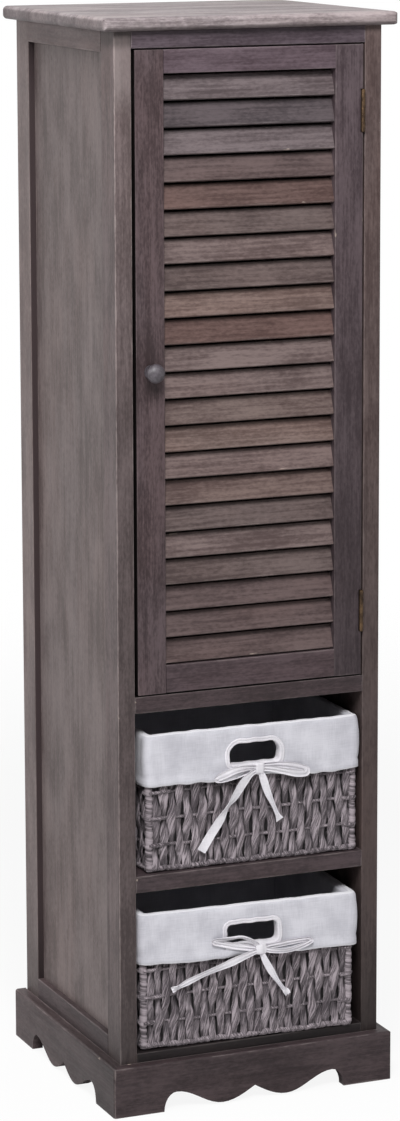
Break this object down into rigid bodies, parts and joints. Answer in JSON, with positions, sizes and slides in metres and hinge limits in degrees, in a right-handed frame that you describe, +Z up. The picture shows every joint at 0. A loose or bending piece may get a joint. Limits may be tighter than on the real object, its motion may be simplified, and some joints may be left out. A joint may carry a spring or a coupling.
{
  "type": "bathroom storage tower",
  "caption": "Tall narrow bathroom tower: louvred cupboard door over open bays with lined woven baskets that slide out, on a scalloped plinth.",
  "frame": {"origin": "middle of the overall box, on the floor", "axes": "+Z up, the door and baskets face -Y, +X to the right as seen from the front"},
  "size_m": [0.33, 0.311, 1.156],
  "materials": {
    "top_wood": "grey wash stain, satin",
    "side_wood": "grey-brown stain with upright grain, matt",
    "frame_wood": "dark grey-brown stain, rubbed edges",
    "slat_wood": "grey-brown stain that varies from slat to slat",
    "plinth_wood": "dark grey-brown stain, rubbed edges",
    "inner_wood": "dark stain, matt",
    "knob_paint": "dark grey paint on turned wood",
    "hinge_brass": "aged brass",
    "catch_steel": "zinc plated",
    "paper_rope": "twisted grey paper rope",
    "cotton": "off-white woven cotton",
    "ribbon": "white cotton tape"
  },
  "bodies": {
    "cabinet": {"top_board": "top_wood", "front_top_rail": "frame_wood", "side_top_rails": "side_wood", "side_low_rails": "side_wood", "left_panel": "side_wood", "right_panel": "side_wood", "left_front_post": "frame_wood", "left_rear_post": "frame_wood", "right_front_post": "frame_wood", "right_rear_post": "frame_wood", "back_panel": "inner_wood", "cupboard_floor": "inner_wood", "basket_shelf": "inner_wood", "bottom_shelf": "inner_wood", "inner_shelves": "inner_wood", "shelf_cleats": "inner_wood", "front_plinth": "plinth_wood", "left_plinth": "plinth_wood", "right_plinth": "plinth_wood", "magnet_catch": "catch_steel", "hinge_leaves_frame": "hinge_brass", "hinge_pins": "hinge_brass", "hinge_screws_frame": "hinge_brass"},
    "door": {"door_hinge_stile": "frame_wood", "door_latch_stile": "frame_wood", "door_top_rail": "frame_wood", "door_low_rail": "frame_wood", "slat_01": "slat_wood", "slat_02": "slat_wood", "slat_03": "slat_wood", "slat_04": "slat_wood", "slat_05": "slat_wood", "slat_06": "slat_wood", "slat_07": "slat_wood", "slat_08": "slat_wood", "slat_09": "slat_wood", "slat_10": "slat_wood", "slat_11": "slat_wood", "slat_12": "slat_wood", "slat_13": "slat_wood", "slat_14": "slat_wood", "slat_15": "slat_wood", "slat_16": "slat_wood", "slat_17": "slat_wood", "slat_18": "slat_wood", "slat_19": "slat_wood", "slat_20": "slat_wood", "slat_21": "slat_wood", "slat_22": "slat_wood", "knob": "knob_paint", "knob_screw": "catch_steel", "strike_plate": "catch_steel", "hinge_leaves_door": "hinge_brass", "hinge_screws_door": "hinge_brass"},
    "basket_up": {"upper_basket": "paper_rope", "upper_liner": "cotton", "upper_bow": "ribbon"},
    "basket_low": {"lower_basket": "paper_rope", "lower_liner": "cotton", "lower_bow": "ribbon"}
  },
  "joints": [
    {"name": "door_hinge", "type": "hinge", "parent": "cabinet", "child": "door", "pos_m": [0.1288, -0.1353, 0.7875], "axis": [0, 0, 1], "range_deg": [0, 170]},
    {"name": "upper_basket_slide", "type": "slide", "parent": "cabinet", "child": "basket_up", "axis": [0, -1, 0], "range_m": [0, 0.2]},
    {"name": "lower_basket_slide", "type": "slide", "parent": "cabinet", "child": "basket_low", "axis": [0, -1, 0], "range_m": [0, 0.2]}
  ]
}
